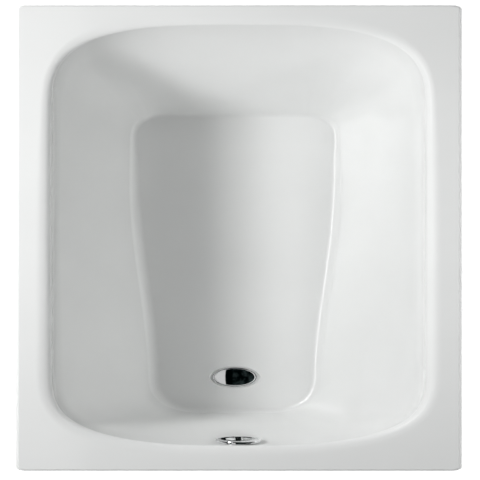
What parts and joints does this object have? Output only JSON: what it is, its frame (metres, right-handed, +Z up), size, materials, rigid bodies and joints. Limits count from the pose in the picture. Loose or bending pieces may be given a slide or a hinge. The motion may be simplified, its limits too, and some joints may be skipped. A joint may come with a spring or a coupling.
{
  "type": "steel bathtub",
  "caption": "Built-in rectangular enamelled steel bath with sloping back, pop-up waste, rotary overflow, trap and levelling feet.",
  "frame": {"origin": "on the ground under the middle of the rim", "axes": "+X to the right and +Y towards the sloping back end, seen from above with the waste end nearest; +Z up"},
  "size_m": [0.7, 1.7, 0.57],
  "materials": {
    "enamel": "gloss white vitreous enamel on steel",
    "chrome": "polished chrome plate",
    "zinc_steel": "zinc-plated steel",
    "grey_plastic": "moulded polypropylene",
    "white_plastic": "moulded white polypropylene",
    "black_plastic": "moulded black plastic",
    "rubber": "black sealing rubber",
    "mat": "bitumen anti-drumming mat",
    "brass": "turned brass"
  },
  "bodies": {
    "bath": {"bath_shell": "enamel", "drain_flange": "chrome", "drain_seal_upper": "rubber", "drain_seal_lower": "rubber", "waste_body": "white_plastic", "waste_union_nut": "white_plastic", "union_washer": "rubber", "trap_body": "white_plastic", "trap_cap": "white_plastic", "trap_cap_seal": "rubber", "outlet_nut": "white_plastic", "outlet_washer": "rubber", "outlet_pipe": "white_plastic", "overflow_gasket": "rubber", "overflow_body": "white_plastic", "overflow_insert": "chrome", "overflow_screws": "zinc_steel", "overflow_hose": "grey_plastic", "hose_nut_upper": "white_plastic", "hose_nut_lower": "white_plastic", "pull_cable": "black_plastic", "side_mat_right": "mat", "side_mat_left": "mat", "head_mat": "mat", "floor_mat": "mat", "earth_tag": "zinc_steel", "earth_screw": "zinc_steel", "earth_nut": "zinc_steel", "stud_plates_head": "zinc_steel", "rail_buffers_head": "rubber", "leg_rail_head": "zinc_steel", "rail_washers_head": "zinc_steel", "rail_nuts_head": "zinc_steel", "foot_locknuts_head": "zinc_steel", "stud_plates_foot": "zinc_steel", "rail_buffers_foot": "rubber", "leg_rail_foot": "zinc_steel", "rail_washers_foot": "zinc_steel", "rail_nuts_foot": "zinc_steel", "foot_locknuts_foot": "zinc_steel"},
    "knob": {"overflow_knob": "chrome", "knob_spindle": "brass", "cable_cam": "black_plastic"},
    "plug": {"drain_plug": "chrome", "plug_seal": "rubber", "plug_stem": "brass", "stem_locknut": "brass"},
    "lifter": {"lever_shaft": "zinc_steel", "lift_lever": "black_plastic", "cable_arm": "black_plastic"},
    "foot_head_right": {"foot_rod_head_right": "zinc_steel", "foot_pad_head_right": "black_plastic"},
    "foot_head_left": {"foot_rod_head_left": "zinc_steel", "foot_pad_head_left": "black_plastic"},
    "foot_foot_right": {"foot_rod_foot_right": "zinc_steel", "foot_pad_foot_right": "black_plastic"},
    "foot_foot_left": {"foot_rod_foot_left": "zinc_steel", "foot_pad_foot_left": "black_plastic"}
  },
  "joints": [
    {"name": "knob_turn", "type": "hinge", "parent": "bath", "child": "knob", "pos_m": [0, -0.74656, 0.524], "axis": [0, 0.9541, 0.2995], "range_deg": [0, 90]},
    {"name": "plug_lift", "type": "slide", "parent": "bath", "child": "plug", "axis": [0, 0, 1], "range_m": [0, 0.01]},
    {"name": "lever_rock", "type": "hinge", "parent": "bath", "child": "lifter", "pos_m": [0, -0.491, 0.10188], "axis": [-1, 0, 0], "range_deg": [0, 36.01]},
    {"name": "foot_head_right_height", "type": "slide", "parent": "bath", "child": "foot_head_right", "axis": [0, 0, -1], "range_m": [-0.03, 0.02]},
    {"name": "foot_head_left_height", "type": "slide", "parent": "bath", "child": "foot_head_left", "axis": [0, 0, -1], "range_m": [-0.03, 0.02]},
    {"name": "foot_foot_right_height", "type": "slide", "parent": "bath", "child": "foot_foot_right", "axis": [0, 0, -1], "range_m": [-0.03, 0.02]},
    {"name": "foot_foot_left_height", "type": "slide", "parent": "bath", "child": "foot_foot_left", "axis": [0, 0, -1], "range_m": [-0.03, 0.02]}
  ],
  "couplings": [
    {"joint": "plug_lift", "follows": "knob_turn", "m_per_rad": 0.006366},
    {"joint": "lever_rock", "follows": "knob_turn", "ratio": 0.4}
  ]
}
